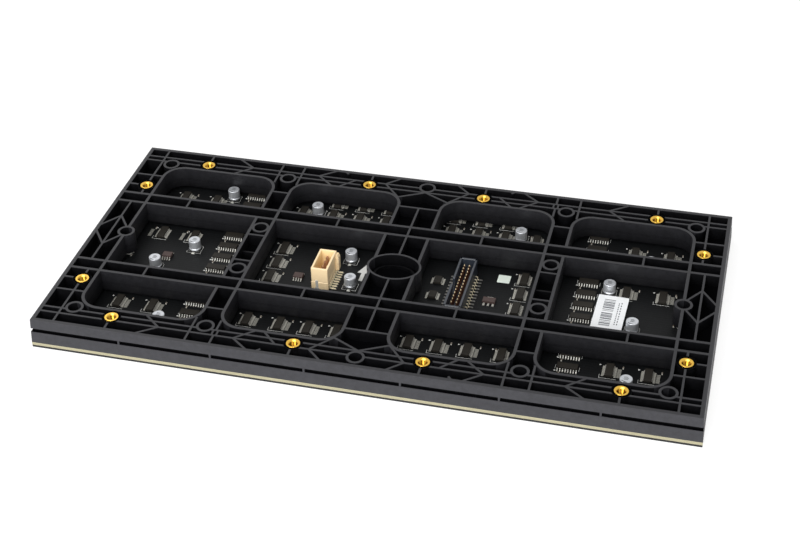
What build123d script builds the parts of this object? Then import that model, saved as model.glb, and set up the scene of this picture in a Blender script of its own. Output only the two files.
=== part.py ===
# LED display panel module, 320 x 160 mm, lying on its light-emitting face with its rear side up.
# X runs along the long side, Y along the short side and +Z out of the rear side.
# The origin is the middle of the light-emitting face. All sizes are in millimetres.
from build123d import *
import math
import os

# Overall size
module_length = 320.0
module_width = 160.0
module_height = 16.0

# Front layers
mask_thickness = 1.2
board_thickness = 1.6
pixel_pitch = 2.5
lamp_size = 2.0
lamp_inset = 0.15
mask_rim = 0.2

# Rear frame, one moulding
wall_draft = 0.8
wall_at_rim = 2.0
floor_above_board = 5.4
floor_thickness = 1.5
skirt_gap = 2.0
main_rib = 1.5
thin_rib = 1.05
column_a = 11.1
column_b = 70.6
twin_gap = 9.7
side_channel = 17.7
row_a = 26.6
row_gap = 8.0
edge_channel = 16.7
corner_radius = 10.5
edge_rib_inset_a = 12.7
edge_rib_inset_b = 8.9
side_rib_inset = 9.9
diamond_half = 12.7
diamond_outer_half = 2.9
diamond_inner_half = 4.1
oval_length = 26.4
oval_width = 20.4
oval_ledge_inset = 3.2
oval_ledge_height = 1.6
twin_rib_half_gap = 6.15
cross_rib_side = 52.7
cross_rib_twin = 51.4
cross_rib_centre = 52.4
cross_rib_middle = 11.1
low_rib_drop = 3.0
channel_rib_a = 37.8
channel_rib_b = 119.6
key_boss_length = 4.8
key_boss_width = 3.2
key_boss_wall = 0.9

# Zigzag ribs along the long edges, each named by the X of its knee
knee_a = 97.0
knee_b = 59.7
knee_c = 39.2
knee_d = 22.7
knee_reach = 9.0
knee_foot_c = 7.6
knee_foot_d = 13.4
fork_foot_drop = 2.9
stub_length = 2.2

# Groove round the outer wall and the tabs that bridge it
groove_low = 9.0
groove_width = 1.95
groove_depth = 1.4
groove_tab = 0.9
groove_tab_pitch = 45.8

# Screw wells of the frame
well_bore = 6.4
well_wall = 1.25
well_floor = 1.2
well_corner_rise = 1.9
well_centre_inset = 8.0
well_middle_drop = 8.6
hidden_flats = 12

# Threaded brass inserts
insert_diameter = 6.8
insert_thread = 4.2
insert_flats = 20
insert_boss_wall = 1.2
insert_near_x = 31.0
insert_far_offset = 20.5
insert_edge_inset = 11.5
insert_side_inset = 12.0
insert_side_rise = 8.2

# Screw heads in the wells, and the nuts on the board below them
screw_head = 5.2
screw_head_height = 1.7
nut_across_flats = 5.0

# Electrolytic capacitors
can_diameter = 6.3
can_height = 5.1
can_base_height = 0.9
can_base_side = 6.6
can_base_corner = 1.3
can_foot_reach = 1.0

# Chips: body length along the lead rows, body width across them, height above the board
driver_length = 8.9
driver_width = 3.9
switch_length = 9.9
switch_width = 3.9
buffer_length = 5.2
small_length = 5.0
chip_height = 1.7
lead_reach = 1.15
lead_thickness = 0.2
lead_row_margin = 0.5

# Power header, four pins, open at the top
power_offset = 25.05
power_y = -0.7
power_width = 8.9
power_length = 17.4
power_height = 12.3
power_wall = 1.2
power_base = 3.0
power_pin_pitch = 3.96
power_pin_side = 1.14
power_pin_height = 10.0
power_tail_width = 1.2
power_tail_pitch = 1.98
power_tail_reach = 3.2
power_tail_height = 2.0
power_tail_thickness = 0.5
power_lug_reach = 1.5
power_lug_width = 3.2
power_lug_drop = 1.2

# Data header, two rows of thirteen pins in a shroud
data_offset = 22.6
data_rows = 13
data_pitch = 2.54
data_width = 8.9
data_end_margin = 5.1
data_height = 9.1
data_wall = 1.15
data_base = 2.5
data_key_width = 4.5
data_pin_side = 0.64
data_pin_drop = 0.7
data_lead_reach = 3.0
data_lead_height = 2.0

# Small parts on the board
tab_chip_length = 6.5
tab_chip_width = 3.5
tab_width = 3.0
tab_reach = 1.75
tab_lead_width = 1.0
tab_lead_pitch = 2.3

# Heights worked out from the sizes above
board_bottom = mask_thickness
board_top = board_bottom + board_thickness
frame_bottom = board_top
skirt_bottom = board_top + skirt_gap
floor_bottom = board_top + floor_above_board
floor_top = floor_bottom + floor_thickness
rear = module_height
floor_middle = floor_bottom + floor_thickness / 2

half_length = module_length / 2
half_width = module_width / 2
rim_half_length = half_length - wall_draft
rim_half_width = half_width - wall_draft
pocket_half_length = rim_half_length - wall_at_rim
pocket_half_width = rim_half_width - wall_at_rim
wall_middle_x = pocket_half_length + wall_at_rim / 2
wall_middle_y = pocket_half_width + wall_at_rim / 2
well_outer = well_bore / 2 + well_wall
insert_boss = insert_diameter / 2 + insert_boss_wall
insert_length = rear - floor_top

# Lines of the frame in plan, from the middle outwards
column_c = column_b + twin_gap
column_d = half_length - side_channel
column_twin = (column_b + column_c) / 2
side_rib = half_length - side_rib_inset
row_b = row_a + row_gap
row_c = half_width - edge_channel
edge_rib_a = half_width - edge_rib_inset_a
edge_rib_b = half_width - edge_rib_inset_b
fork_foot_y = row_c - fork_foot_drop
insert_far_x = column_d - insert_far_offset
insert_edge_y = half_width - insert_edge_inset
insert_side_x = half_length - insert_side_inset
insert_side_y = row_b + insert_side_rise

signs = (-1, 1)
corners = [(sx, sy) for sx in signs for sy in signs]

# Each window: middle X, middle Y, length, width and the sign of its rounded side, 0 for none
window_columns = []
for sign in signs:
    window_columns.append((sign * (column_a + column_b) / 2, column_b - column_a))
    window_columns.append((sign * (column_c + column_d) / 2, column_d - column_c))
windows = []
for window_x, span_x in window_columns:
    windows.append((window_x, 0, span_x, 2 * row_a, 0))
    for sign in signs:
        windows.append((window_x, sign * (row_b + row_c) / 2, span_x, row_c - row_b, sign))

window_well_places = [(sx * column_d, 0) for sx in signs]
hidden_well_places = [(0, sy * (half_width - well_centre_inset)) for sy in signs]
for sx, sy in corners:
    hidden_well_places.append((sx * column_d, sy * (row_c + well_corner_rise)))
    hidden_well_places.append((sx * column_twin, sy * (row_c + well_corner_rise)))
    hidden_well_places.append((sx * column_twin, sy * (row_a - well_middle_drop)))
well_places = window_well_places + hidden_well_places

insert_places = []
for sx, sy in corners:
    insert_places.append((sx * insert_near_x, sy * insert_edge_y))
    insert_places.append((sx * insert_far_x, sy * insert_edge_y))
    insert_places.append((sx * insert_side_x, sy * insert_side_y))


def save(name, shape):
    """Write one node, with its name as its label."""
    shape.label = name
    export_step(shape, os.path.join("parts", name + ".step"))


def copies(solid, places, height=0):
    """A list of copies of one solid, one at each place."""
    return [Pos(x, y, height) * solid for x, y in places]


def spread(solid, places, height=0):
    """Copies of one solid as one shape, one at each place."""
    return Compound(children=copies(solid, places, height))


def block(x_low, x_high, y_low, y_high, z_low, z_high):
    """A box given by its faces."""
    place = Pos((x_low + x_high) / 2, (y_low + y_high) / 2, (z_low + z_high) / 2)
    return place * Box(x_high - x_low, y_high - y_low, z_high - z_low)


def strip(start, end, width):
    """The plan of one straight rib from start to end."""
    length = math.dist(start, end)
    angle = math.degrees(math.atan2(end[1] - start[1], end[0] - start[0]))
    return Pos((start[0] + end[0]) / 2, (start[1] + end[1]) / 2) * Rot(0, 0, angle) * Rectangle(length, width)


def window_plan(window, grow):
    """The plan of a window, grown from the middle line of its walls."""
    x, y, span_x, span_y, side = window
    plan = Pos(x, y) * Rectangle(span_x + 2 * grow, span_y + 2 * grow)
    if side:
        edge = plan.vertices().group_by(Axis.Y)[-1 if side > 0 else 0]
        plan = fillet(edge, corner_radius + grow)
    return plan


def main_rib_plans():
    """Window walls and the thick ribs that join them."""
    plans = [window_plan(window, main_rib / 2) for window in windows]
    for sy in signs:
        for y in (row_a, row_b):
            plans.append(strip((-wall_middle_x, sy * y), (wall_middle_x, sy * y), main_rib))
        for sx in signs:
            for x in (column_b, column_d):
                plans.append(strip((sx * x, sy * row_a), (sx * x, sy * row_b), main_rib))
    return plans


def edge_rib_plans():
    """Thin ribs along the long edges, with their zigzags."""
    plans = []
    for sy in signs:
        for y in (edge_rib_a, edge_rib_b):
            plans.append(strip((-wall_middle_x, sy * y), (wall_middle_x, sy * y), thin_rib))
    for sx, sy in corners:
        knee_y = sy * edge_rib_b
        foot_y = sy * row_c
        wall_y = sy * wall_middle_y
        plans.append(strip((sx * knee_a, knee_y), (sx * (knee_a + knee_reach + thin_rib), wall_y), thin_rib))
        plans.append(strip((sx * knee_a, knee_y), (sx * (knee_a + knee_reach), foot_y), thin_rib))
        plans.append(strip((sx * knee_b, knee_y), (sx * (knee_b - knee_reach), wall_y), thin_rib))
        plans.append(strip((sx * knee_b, knee_y), (sx * (knee_b - knee_reach), foot_y), thin_rib))
        plans.append(strip((sx * knee_c, knee_y), (sx * (knee_c + knee_foot_c), foot_y), thin_rib))
        stub_x = knee_c + knee_foot_c
        plans.append(strip((sx * stub_x, wall_y), (sx * (stub_x - stub_length), wall_y - sy * stub_length),
                           thin_rib))
        plans.append(strip((sx * knee_d, knee_y), (sx * (knee_d - knee_foot_c), wall_y), thin_rib))
        plans.append(strip((sx * knee_d, knee_y), (sx * knee_foot_d, sy * fork_foot_y), thin_rib))
        plans.append(strip((0, sy * edge_rib_a), (sx * knee_foot_d, sy * fork_foot_y), thin_rib))
        for offset_x in (-twin_rib_half_gap, twin_rib_half_gap):
            x = sx * (column_twin + offset_x)
            plans.append(strip((x, wall_y), (x, sy * (row_c - corner_radius / 3)), thin_rib))
        for x in (insert_near_x, insert_far_x):
            plans.append(strip((sx * x, wall_y), (sx * x, sy * insert_edge_y), thin_rib))
        plans.append(strip((sx * insert_side_x, wall_y), (sx * insert_side_x, sy * row_b), thin_rib))
        plans.append(strip((sx * wall_middle_x, sy * insert_side_y), (sx * insert_side_x, sy * insert_side_y),
                           thin_rib))
    return plans


def cross_rib_plans():
    """Thin ribs between the windows and beside them."""
    plans = []
    for sx, sy in corners:
        y = sy * cross_rib_side
        plans.append(strip((sx * column_d, y), (sx * wall_middle_x, y), thin_rib))
        for y in (sy * cross_rib_twin, sy * cross_rib_middle):
            plans.append(strip((sx * column_b, y), (sx * column_c, y), thin_rib))
        for x in (channel_rib_a, channel_rib_b):
            plans.append(strip((sx * x, sy * row_a), (sx * x, sy * row_b), thin_rib))
        knee = (sx * side_rib, sy * diamond_half)
        plans.append(strip(knee, (sx * wall_middle_x, sy * (diamond_outer_half - thin_rib)), thin_rib))
        plans.append(strip(knee, (sx * (column_d + main_rib), sy * diamond_inner_half), thin_rib))
    for sx in signs:
        plans.append(strip((sx * side_rib, -row_a), (sx * side_rib, row_a), thin_rib))
    for sy in signs:
        plans.append(strip((-column_a, sy * cross_rib_centre), (column_a, sy * cross_rib_centre), thin_rib))
        plans.append(strip((0, sy * cross_rib_centre), (0, sy * oval_width / 2), thin_rib))
    return plans


def oval_plan(grow):
    """The plan of the oval post, grown from the middle line of its wall."""
    return Ellipse(oval_length / 2 + grow, oval_width / 2 + grow)


def key_boss_places():
    """The two small locating bosses, turned half a turn from each other."""
    x = column_twin - twin_rib_half_gap
    y = (edge_rib_a + edge_rib_b) / 2
    return [(x, y), (-x, -y)]


def outer_wall():
    """Tapered wall with the frame's floor across it, open below and above the floor."""
    plan = Rectangle(module_length, module_width)
    height = rear - frame_bottom
    taper = math.degrees(math.atan(wall_draft / height))
    body = Pos(0, 0, frame_bottom) * extrude(plan, amount=height, taper=taper)
    pocket = Rectangle(2 * pocket_half_length, 2 * pocket_half_width)
    body -= Pos(0, 0, floor_top) * extrude(pocket, amount=rear - floor_top)
    body -= Pos(0, 0, frame_bottom) * extrude(pocket, amount=floor_bottom - frame_bottom)
    return body


def wall_groove():
    """The groove round the outer wall, less the tabs that bridge it."""
    middle = groove_low + groove_width / 2 - frame_bottom
    inset = wall_draft * middle / (rear - frame_bottom)
    core_length = module_length - 2 * (inset + groove_depth)
    core_width = module_width - 2 * (inset + groove_depth)
    ring = Rectangle(2 * module_length, 2 * module_width) - Rectangle(core_length, core_width)
    count_x = int(core_length / groove_tab_pitch / 2) * 2
    for i in range(count_x):
        x = (i - (count_x - 1) / 2) * groove_tab_pitch
        ring -= Pos(x, 0) * Rectangle(groove_tab, 3 * module_width)
    for sign in signs:
        ring -= Pos(0, sign * groove_tab_pitch / 2) * Rectangle(3 * module_length, groove_tab)
    return Pos(0, 0, groove_low) * extrude(ring, amount=groove_width)


def rib_plan(wells, bosses, openings):
    """Everything that rises from the floor to the rear face."""
    ribs = Sketch() + main_rib_plans() + edge_rib_plans() + cross_rib_plans()
    ribs += wells + bosses
    ribs += oval_plan(thin_rib / 2)
    ribs -= oval_plan(-thin_rib / 2)
    ribs += [Pos(x, y) * Rot(0, 0, 90) * SlotOverall(key_boss_length, key_boss_width)
             for x, y in key_boss_places()]
    return ribs - openings


def insert_plan():
    """The outline of an insert and of its seat, its knurl drawn as flats."""
    return RegularPolygon(insert_diameter / 2, insert_flats)


def rear_frame():
    """The ribbed rear frame: wall, floor, ribs, wells and insert bosses in one moulding."""
    skirts = Sketch() + [window_plan(window, main_rib / 2) for window in windows]
    skirts += oval_plan(thin_rib / 2)
    skirts -= oval_plan(-thin_rib / 2)
    wells = Sketch() + [Pos(x, y) * Circle(well_outer) for x, y in well_places]
    window_posts = [Pos(x, y) * Circle(well_outer) for x, y in window_well_places]
    hidden_posts = [Pos(x, y) * RegularPolygon(well_outer, hidden_flats) for x, y in hidden_well_places]
    openings = Sketch() + [window_plan(window, -main_rib / 2) for window in windows]
    openings -= window_posts + [oval_plan(thin_rib / 2)]
    bosses = Sketch() + [Pos(x, y) * Circle(insert_boss) for x, y in insert_places]
    low_ribs = Sketch() + [strip((sx * column_b, 0), (sx * column_c, 0), thin_rib) for sx in signs]
    ledge = oval_plan(thin_rib / 2 - oval_ledge_inset) - oval_plan(-thin_rib / 2 - oval_ledge_inset)

    frame = outer_wall()
    frame += Pos(0, 0, skirt_bottom) * extrude(skirts + window_posts + hidden_posts,
                                               amount=floor_middle - skirt_bottom)
    frame += Pos(0, 0, floor_middle) * extrude(rib_plan(wells, bosses, openings), amount=rear - floor_middle)
    frame += Pos(0, 0, floor_middle) * extrude(low_ribs, amount=rear - low_rib_drop - floor_middle)
    frame += Pos(0, 0, floor_middle) * extrude(ledge, amount=floor_top + oval_ledge_height - floor_middle)

    frame -= Pos(0, 0, frame_bottom) * extrude(openings, amount=rear - frame_bottom)
    well_depth = rear - skirt_bottom - well_floor
    frame -= copies(Pos(0, 0, -well_depth / 2) * Cylinder(well_bore / 2, well_depth), well_places, rear)
    frame -= copies(extrude(insert_plan(), amount=-insert_length), insert_places, rear)
    key_hole = Rot(0, 0, 90) * SlotOverall(key_boss_length - 2 * key_boss_wall,
                                           key_boss_width - 2 * key_boss_wall)
    frame -= copies(Pos(0, 0, floor_top) * extrude(key_hole, amount=rear - floor_top), key_boss_places())
    return frame - wall_groove()


def circuit_board():
    """The board that carries the lamps on its front and the components on its rear."""
    return block(-half_length, half_length, -half_width, half_width, board_bottom, board_top)


def lamp_row_places():
    """The Y of each row of lamps."""
    rows = round(module_width / pixel_pitch)
    return [(i - (rows - 1) / 2) * pixel_pitch for i in range(rows)]


def front_mask():
    """Black mask over the front of the board, with a slot for each row of lamps."""
    body = block(-half_length, half_length, -half_width, half_width, 0, mask_thickness)
    slot_length = module_length - 2 * mask_rim
    slot = Box(slot_length, lamp_size + mask_rim / 2, mask_thickness)
    return body - copies(slot, [(0, y) for y in lamp_row_places()], mask_thickness / 2)


def led_rows():
    """One bar for each row of lamps, soldered to the front of the board."""
    row_length = module_length - pixel_pitch + lamp_size
    bar_height = mask_thickness - lamp_inset
    bar = Box(min(row_length, module_length - 2 * mask_rim), lamp_size, bar_height)
    return spread(bar, [(0, y) for y in lamp_row_places()], lamp_inset + bar_height / 2)


def threaded_insert():
    """One brass insert, its upper face at Z 0, level with the rear of the frame."""
    return extrude(insert_plan() - Circle(insert_thread / 2), amount=-insert_length)


def screw():
    """The head of one screw, resting on Z 0."""
    return extrude(RegularPolygon(screw_head / 2, hidden_flats), amount=screw_head_height)


def board_nut():
    """One hexagonal nut soldered to the board, standing on Z 0 under a well."""
    return extrude(RegularPolygon(nut_across_flats / 2, 6, major_radius=False), amount=skirt_gap)


# Places of the electrolytic capacitors, each from the walls of its window
can_places = [(-column_c - 24.5, row_c - 4.4), (-column_b + 14.7, row_c - 8.9),
              (column_b - 16.5, row_c - 8.9), (column_d - 20.1, row_b + 8.4),
              (-column_c - 29.1, row_a - 16.7), (-column_d + 18.3, -8.9),
              (-column_a - 16.1, row_a - 9.0), (-column_a - 10.9, -3.4),
              (column_c + 24.6, row_a - 7.2), (column_d - 22.7, -8.5),
              (-column_c - 24.5, -row_c + 10.1), (column_d - 20.1, -row_c + 12.0)]


def capacitor_can():
    """Aluminium can, standing on its base."""
    return Pos(0, 0, can_base_height) * extrude(Circle(can_diameter / 2), amount=can_height)


def capacitor_base():
    """Square base under the can, two corners cut to mark its polarity."""
    plan = Rectangle(can_base_side, can_base_side)
    plan = chamfer(plan.vertices().group_by(Axis.Y)[-1], can_base_corner)
    return extrude(plan, amount=can_base_height)


# Places of the chips: drivers stand along Y, row switches and the small chip lie along X
end_window_middle = (column_c + column_d) / 2
driver_end_columns = [-column_d + 11.3, -end_window_middle - 2.1, end_window_middle + 2.1, column_d - 10.9]
driver_wall_columns = [-column_b + 6.6, column_b - 8.3]
driver_middle_columns = [-47.5, -33.0, -18.6, 17.2, 31.4, 45.7]
driver_columns = driver_end_columns + driver_wall_columns + driver_middle_columns
driver_rows = [41.2, 53.4]
driver_end_y = row_a - 7.3
driver_wall_ys = [row_a - 7.0, 7.3, -5.0]
driver_top_row = 65.7
switch_columns = [-column_c - 12.6, column_c + 13.7]
switch_first = 62.8
switch_pitch = 9.6
switch_count = 14
buffer_places = [(column_a + 8.9, 9.8), (column_a + 8.9, -2.6)]
small_chip_places = [(-column_b + 21.0, -2.0), (-column_d + 21.1, 0.6)]
tab_chip_place = (column_b - 22.2, -1.2)


def driver_places():
    """Every driver chip that leaves its neighbour capacitors free."""
    places = [(x, sy * y) for x in driver_columns for y in driver_rows for sy in signs]
    places += [(x, driver_end_y) for x in driver_end_columns]
    places += [(x, y) for x in driver_wall_columns for y in driver_wall_ys]
    places += [(x, driver_top_row) for x in driver_middle_columns]
    room_x = driver_width / 2 + lead_reach + can_base_side / 2
    room_y = driver_length / 2 + can_base_side / 2 + can_foot_reach
    return [(x, y) for x, y in places
            if all(abs(x - cx) > room_x or abs(y - cy) > room_y for cx, cy in can_places)]


def switch_places():
    """The two columns of row-switch chips."""
    return [(x, switch_first - i * switch_pitch) for x in switch_columns for i in range(switch_count)]


def chip_body(length, width):
    """Moulded chip body, lying on its lead frame, with its lead rows along X."""
    return Pos(0, 0, lead_thickness) * extrude(Rectangle(length, width), amount=chip_height - lead_thickness)


def chip_leads(length, width):
    """The lead frame of a chip, whose two rows of feet stand out from under the body."""
    plan = Rectangle(length - 2 * lead_row_margin, width + 2 * lead_reach)
    return extrude(plan, amount=lead_thickness)


def chip_set(places, length, width, turned):
    """Bodies and lead frames of every chip of one kind, seated on the board."""
    turn = Rot(0, 0, 90 if turned else 0)
    return (spread(turn * chip_body(length, width), places, board_top),
            spread(turn * chip_leads(length, width), places, board_top))


def power_header_housing():
    """Open box that guides the power plug, with a latch lug on one long side."""
    body = extrude(Rectangle(power_width, power_length), amount=power_height)
    well = Rectangle(power_width - 2 * power_wall, power_length - 2 * power_wall)
    body -= Pos(0, 0, power_base) * extrude(well, amount=power_height)
    lug_plan = Polyline((power_width / 2, power_tail_height + power_tail_thickness),
                        (power_width / 2, power_height - power_lug_drop),
                        (power_width / 2 + power_lug_reach / 2, power_height - power_lug_drop),
                        (power_width / 2 + power_lug_reach, power_height - 2 * power_lug_drop),
                        (power_width / 2 + power_lug_reach, power_tail_height + power_tail_thickness),
                        close=True)
    lug = extrude(Plane.XZ * make_face(lug_plan), amount=power_lug_width / 2, both=True)
    return body + Pos(0, power_length / 2 - power_lug_width / 2, 0) * lug


def power_pin_places():
    """Y of the four power pins, from the middle of the header."""
    return [(i - 1.5) * power_pin_pitch for i in range(4)]


def power_header_pins():
    """Square posts of the power header, from the housing's floor up into the plug space."""
    height = power_pin_height - power_base
    post = Pos(0, 0, power_base + height / 2) * Box(power_pin_side, power_pin_side, height)
    return spread(post, [(0, y) for y in power_pin_places()])


def power_header_tails():
    """Flat solder tails that leave one side of the power header."""
    side = power_width / 2
    t = power_tail_thickness
    toe = side + power_tail_reach
    outline = Polyline((side, 0), (side, power_tail_height), (side + t, power_tail_height), (side + t, t),
                       (toe, t), (toe, 0), close=True)
    tail = extrude(Plane.XZ * make_face(outline), amount=power_tail_width / 2, both=True)
    return spread(tail, [(0, (i - 3.5) * power_tail_pitch) for i in range(8)])


def data_header_length():
    """Outer length of the data header's shroud."""
    return (data_rows - 1) * data_pitch + 2 * data_end_margin


def data_row_places():
    """Y of each pair of data pins, from the middle of the header."""
    return [(i - (data_rows - 1) / 2) * data_pitch for i in range(data_rows)]


def data_header_shroud():
    """Shroud of the data header, with its key gap in one long wall."""
    length = data_header_length()
    body = extrude(Rectangle(data_width, length), amount=data_height)
    well = Rectangle(data_width - 2 * data_wall, length - 2 * data_wall)
    body -= Pos(0, 0, data_base) * extrude(well, amount=data_height)
    key = block(-data_width, -data_width / 2 + 1.5 * data_wall, -data_key_width / 2, data_key_width / 2,
                data_base, 2 * data_height)
    return body - key


def data_header_pins():
    """Square posts of the data header, standing in the shroud."""
    height = data_height - data_pin_drop - data_base
    post = Pos(0, 0, data_base + height / 2) * Box(data_pin_side, data_pin_side, height)
    return spread(post, [(sx * data_pitch / 2, y) for sx in signs for y in data_row_places()])


def data_header_leads():
    """Bent leads that leave both long sides of the data header for the board."""
    side = data_width / 2
    t = data_pin_side / 2
    toe = side + data_lead_reach
    outline = Polyline((side, 0), (side, data_lead_height), (side + t, data_lead_height), (side + t, t),
                       (toe, t), (toe, 0), close=True)
    lead = extrude(Plane.XZ * make_face(outline), amount=data_pin_side / 2, both=True)
    places = [(0, y) for y in data_row_places()]
    return Compound(children=copies(lead, places) + copies(mirror(lead, Plane.YZ), places))


def tab_chip():
    """Regulator with one wide tab and three leads: its body, and its metal."""
    body = chip_body(tab_chip_length, tab_chip_width)
    edge = tab_chip_width / 2
    tab = block(-tab_width / 2, tab_width / 2, edge, edge + tab_reach, 0, 2 * lead_thickness)
    leads = [block(x - tab_lead_width / 2, x + tab_lead_width / 2, -edge - tab_reach, -edge, 0,
                   2 * lead_thickness)
             for x in (-tab_lead_pitch, 0, tab_lead_pitch)]
    return body, Compound(children=[tab] + leads)


def main():
    os.makedirs("parts", exist_ok=True)
    save("rear_frame", rear_frame())
    save("circuit_board", circuit_board())
    save("front_mask", front_mask())
    save("led_rows", led_rows())
    save("threaded_inserts", spread(threaded_insert(), insert_places, rear))
    save("frame_screws", spread(screw(), well_places, skirt_bottom + well_floor))
    save("board_nuts", spread(board_nut(), well_places, board_top))

    save("capacitor_cans", spread(capacitor_can(), can_places, board_top))
    save("capacitor_bases", spread(capacitor_base(), can_places, board_top))

    chip_kinds = [("driver_chip", driver_places(), driver_length, driver_width, True),
                  ("row_switch_chip", switch_places(), switch_length, switch_width, False),
                  ("buffer_chip", buffer_places, buffer_length, driver_width, True),
                  ("supply_chip", small_chip_places, small_length, driver_width, False)]
    for name, places, length, width, turned in chip_kinds:
        bodies, leads = chip_set(places, length, width, turned)
        save(name + "_bodies", bodies)
        save(name + "_leads", leads)
    regulator_body, regulator_metal = tab_chip()
    save("regulator_body", Pos(*tab_chip_place, board_top) * regulator_body)
    save("regulator_metal", Pos(*tab_chip_place, board_top) * regulator_metal)

    power_place = Pos(-column_a - power_offset, power_y, board_top)
    save("power_header_housing", power_place * power_header_housing())
    save("power_header_pins", power_place * power_header_pins())
    save("power_header_tails", power_place * power_header_tails())
    data_place = Pos(column_a + data_offset, 0, board_top)
    save("data_header_shroud", data_place * data_header_shroud())
    save("data_header_pins", data_place * data_header_pins())
    save("data_header_leads", data_place * data_header_leads())


if __name__ == "__main__":
    main()
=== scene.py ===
import math

import bmesh
import bpy
from mathutils import Matrix, Vector


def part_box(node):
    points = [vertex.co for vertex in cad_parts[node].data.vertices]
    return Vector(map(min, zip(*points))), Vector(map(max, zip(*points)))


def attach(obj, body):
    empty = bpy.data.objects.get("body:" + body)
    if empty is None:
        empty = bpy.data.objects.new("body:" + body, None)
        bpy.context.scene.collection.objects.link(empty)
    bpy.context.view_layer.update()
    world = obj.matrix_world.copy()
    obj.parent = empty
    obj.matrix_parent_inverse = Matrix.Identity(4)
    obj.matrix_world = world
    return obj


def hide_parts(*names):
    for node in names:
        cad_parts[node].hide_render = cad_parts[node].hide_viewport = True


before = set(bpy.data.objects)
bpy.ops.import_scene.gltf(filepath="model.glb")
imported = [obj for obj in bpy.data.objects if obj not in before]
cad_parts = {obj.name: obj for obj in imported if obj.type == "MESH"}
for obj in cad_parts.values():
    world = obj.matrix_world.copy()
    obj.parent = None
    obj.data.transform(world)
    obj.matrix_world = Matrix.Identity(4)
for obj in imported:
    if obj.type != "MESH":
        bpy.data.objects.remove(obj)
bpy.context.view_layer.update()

bl_info = {
    "name": "LED display module",
    "version": (1, 0, 0),
    "blender": (4, 5, 0),
    "location": "View3D > Sidebar > Module",
    "description": "Dresses a display panel module: lamps, chips, headers, printing and finishes",
    "category": "Object",
}

MM = 0.001

# Levels and places in millimetres: board, rear rim, upper face of the frame's floor, lip of its groove
BOARD_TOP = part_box("circuit_board")[1][2] / MM
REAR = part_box("rear_frame")[1][2] / MM
FRAME_FLOOR = 9.7
GROOVE = 9.0
# Middle lines of the walls round the windows, in the quarter where X and Y are above 0
WINDOW_COLUMNS = ((11.1, 70.6), (80.3, 142.3))
WINDOW_ROWS = ((0.0, 26.6), (34.6, 63.3))
QUARTER = math.pi / 2

# Blender's names of the kinds of node that are used often
COORDS = "ShaderNodeTexCoord"
NOISE = "ShaderNodeTexNoise"
WAVE = "ShaderNodeTexWave"
MIX = "ShaderNodeMix"
MATH = "ShaderNodeMath"
VECTOR_MATH = "ShaderNodeVectorMath"
SPAN = "ShaderNodeMapRange"
SPLIT = "ShaderNodeSeparateXYZ"
JOIN = "ShaderNodeCombineXYZ"
BUMP = "ShaderNodeBump"
SETTER = "GeometryNodeInstanceOnPoints"


def linear(colour):
    """Linear red, green and blue of an sRGB hex colour."""
    parts = [int(colour[i:i + 2], 16) / 255 for i in (1, 3, 5)]
    return tuple(p / 12.92 if p <= 0.04045 else ((p + 0.055) / 1.055) ** 2.4 for p in parts)


# Settings that a user would change

def length_setting(name, description, millimetres, precision=5):
    """A length that the user can change."""
    return bpy.props.FloatProperty(name=name, description=description, default=millimetres * MM,
                                   unit="LENGTH", precision=precision)


def colour_setting(name, description, colour):
    """A colour that the user can change."""
    return bpy.props.FloatVectorProperty(name=name, description=description, subtype="COLOR",
                                         default=linear(colour))


class ModuleSizes(bpy.types.PropertyGroup):
    """Sizes of the details, in the scene's length unit."""

    driver_pitch: length_setting(
        "Driver lead pitch", "Distance between two leads of a driver chip", 0.635)
    switch_pitch: length_setting(
        "Row switch lead pitch", "Distance between two leads of a row-switch chip", 1.27)
    lamp_pitch: length_setting("Lamp pitch", "Distance between two lamps on the front", 2.5)
    lamp_side: length_setting("Lamp side", "Side of one square lamp", 2.0)
    thread_pitch: length_setting(
        "Thread pitch", "Distance between two turns of the insert's thread", 0.7)
    print_width: length_setting("Printed line", "Width of a white printed line on the board", 0.16)
    print_height: length_setting("Print thickness", "Thickness of the printed ink", 0.03, 6)


class ModuleColours(bpy.types.PropertyGroup):
    """Base colours of the finishes."""

    frame_black: colour_setting("Frame", "Moulded frame", "#0C0C0E")
    # paler grey painted on outer faces and rib tops as a painted highlight
    frame_highlight: colour_setting(
        "Highlight on frame", "Outer faces and rib tops, painted paler as a highlight", "#2D2D31")
    board_mask: colour_setting("Solder mask", "Face of the circuit board", "#0B0C0D")
    board_core: colour_setting("Board core", "Cut edge of the circuit board", "#ABA58A")
    brass: colour_setting("Brass", "Threaded inserts", "#E9BC52")
    nylon: colour_setting("Nylon", "Power header housing", "#F8DDB0")
    ink: colour_setting("Ink", "White printing on the board", "#DCDCD8")
    resin: colour_setting("Chip resin", "Chip bodies", "#1E1B16")


# Mesh building, in millimetres

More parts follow.
